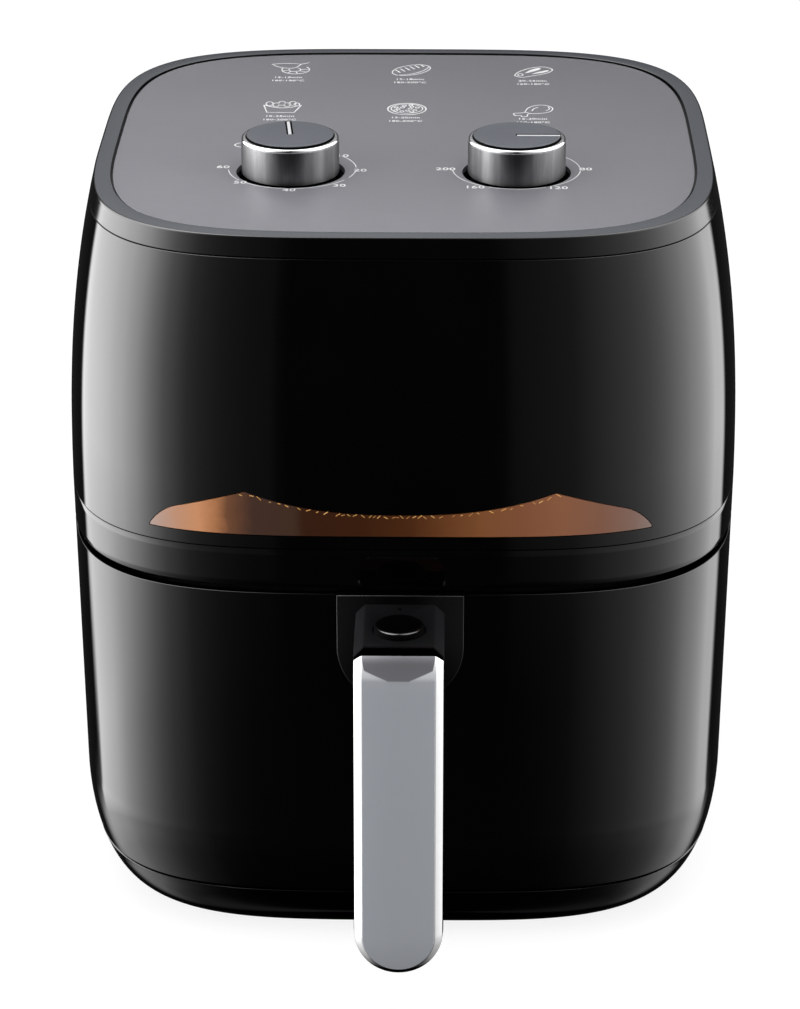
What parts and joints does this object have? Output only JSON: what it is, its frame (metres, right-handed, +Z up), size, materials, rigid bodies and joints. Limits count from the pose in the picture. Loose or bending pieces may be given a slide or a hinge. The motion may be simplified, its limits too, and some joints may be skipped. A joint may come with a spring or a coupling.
{
  "type": "air fryer",
  "caption": "Upright drawer air fryer with a rounded square body, front window band, pull-out basket drawer with a release button on its handle, and timer and thermostat knobs on top.",
  "frame": {"origin": "centre of the whole part's footprint, with its handle, on the plane its feet stand on", "axes": "+Z up, -Y towards the drawer handle at the front, +X to the right seen from the front"},
  "size_m": [0.28, 0.349, 0.3275],
  "materials": {
    "gloss_black": "glossy moulded black shell",
    "matte_black": "satin moulded black plastic",
    "rubber_black": "matt rubber",
    "satin_grey": "satin dark grey panel with pale printed scales and food symbols",
    "chrome": "bright chrome plating",
    "silver_satin": "satin silver-grey strip",
    "slate_grey": "satin slate-grey plastic",
    "pointer_white": "white pointer line",
    "amber_window": "amber see-through window",
    "clear_glass": "heat-proof glass",
    "sheet_steel": "galvanised sheet steel",
    "bright_wire": "bright steel",
    "element_tube": "dark heat-tinted metal sheath",
    "aluminium": "pressed aluminium",
    "copper_coil": "enamelled copper winding",
    "nonstick": "dark non-stick coating",
    "cream_plastic": "cream moulded plastic",
    "brown_plastic": "dark brown phenolic plastic",
    "red_silicone": "red silicone",
    "ceramic_white": "glazed ceramic"
  },
  "bodies": {
    "housing": {"base_tray": "gloss_black", "feet": "rubber_black", "chassis_floor": "sheet_steel", "drawer_runners": "matte_black", "lower_housing": "gloss_black", "belt_ring": "gloss_black", "upper_shell": "gloss_black", "top_cover": "gloss_black", "top_panel": "satin_grey", "window_lens": "amber_window", "inner_glass": "clear_glass", "chamber_liner": "sheet_steel", "ceiling_plate": "sheet_steel", "heating_element": "element_tube", "element_clips": "bright_wire", "element_guard": "bright_wire", "motor_base": "sheet_steel", "motor_stator": "sheet_steel", "motor_coil": "copper_coil", "motor_cap": "sheet_steel", "timer_body": "cream_plastic", "timer_bell": "bright_wire", "thermostat_body": "brown_plastic", "thermostat_bulb": "copper_coil", "oven_lamp": "ceramic_white", "lamp_cover": "clear_glass", "door_switch": "matte_black", "terminal_block": "cream_plastic", "thermal_fuse": "ceramic_white", "wiring_loom": "red_silicone", "exhaust_grille": "matte_black", "cord_gland": "matte_black", "base_screws": "bright_wire"},
    "drawer": {"drawer_front": "gloss_black", "drawer_pan": "nonstick", "pan_catch": "bright_wire", "basket": "nonstick", "crisper_plate": "nonstick", "plate_feet": "red_silicone", "handle_base": "matte_black", "handle_cover": "chrome", "handle_strip": "silver_satin", "handle_screws": "bright_wire", "button_spring": "bright_wire"},
    "button": {"release_button": "gloss_black"},
    "latch": {"latch_bar": "bright_wire"},
    "timer_knob": {"timer_sleeve": "chrome", "timer_cap": "slate_grey", "timer_pointer": "pointer_white", "timer_shaft": "bright_wire"},
    "thermostat_knob": {"thermostat_sleeve": "chrome", "thermostat_cap": "slate_grey", "thermostat_pointer": "pointer_white", "thermostat_shaft": "bright_wire"},
    "fan": {"motor_shaft": "bright_wire", "motor_rotor": "sheet_steel", "hot_air_fan": "aluminium", "cooling_fan": "cream_plastic"}
  },
  "joints": [
    {"name": "drawer_slide", "type": "slide", "parent": "housing", "child": "drawer", "axis": [0, -1, 0], "range_m": [0, 0.235]},
    {"name": "button_press", "type": "slide", "parent": "drawer", "child": "button", "axis": [0, 0, -1], "range_m": [0, 0.0035], "stiffness_N_per_m": 600, "springref_m": -0.003, "deforming": ["button_spring"]},
    {"name": "latch_slide", "type": "slide", "parent": "drawer", "child": "latch", "axis": [0, -1, 0], "range_m": [0, 0.0035]},
    {"name": "timer_turn", "type": "hinge", "parent": "housing", "child": "timer_knob", "pos_m": [-0.0463, -0.01924, 0.3117], "axis": [0, 0, -1], "range_deg": [0, 270]},
    {"name": "thermostat_turn", "type": "hinge", "parent": "housing", "child": "thermostat_knob", "pos_m": [0.0463, -0.01924, 0.3117], "axis": [0, 0, -1], "range_deg": [0, 180]},
    {"name": "fan_spin", "type": "hinge", "parent": "housing", "child": "fan", "pos_m": [0, 0.02846, 0.25], "axis": [0, 0, 1], "continuous": true}
  ],
  "couplings": [
    {"joint": "latch_slide", "follows": "button_press", "ratio": 1}
  ]
}
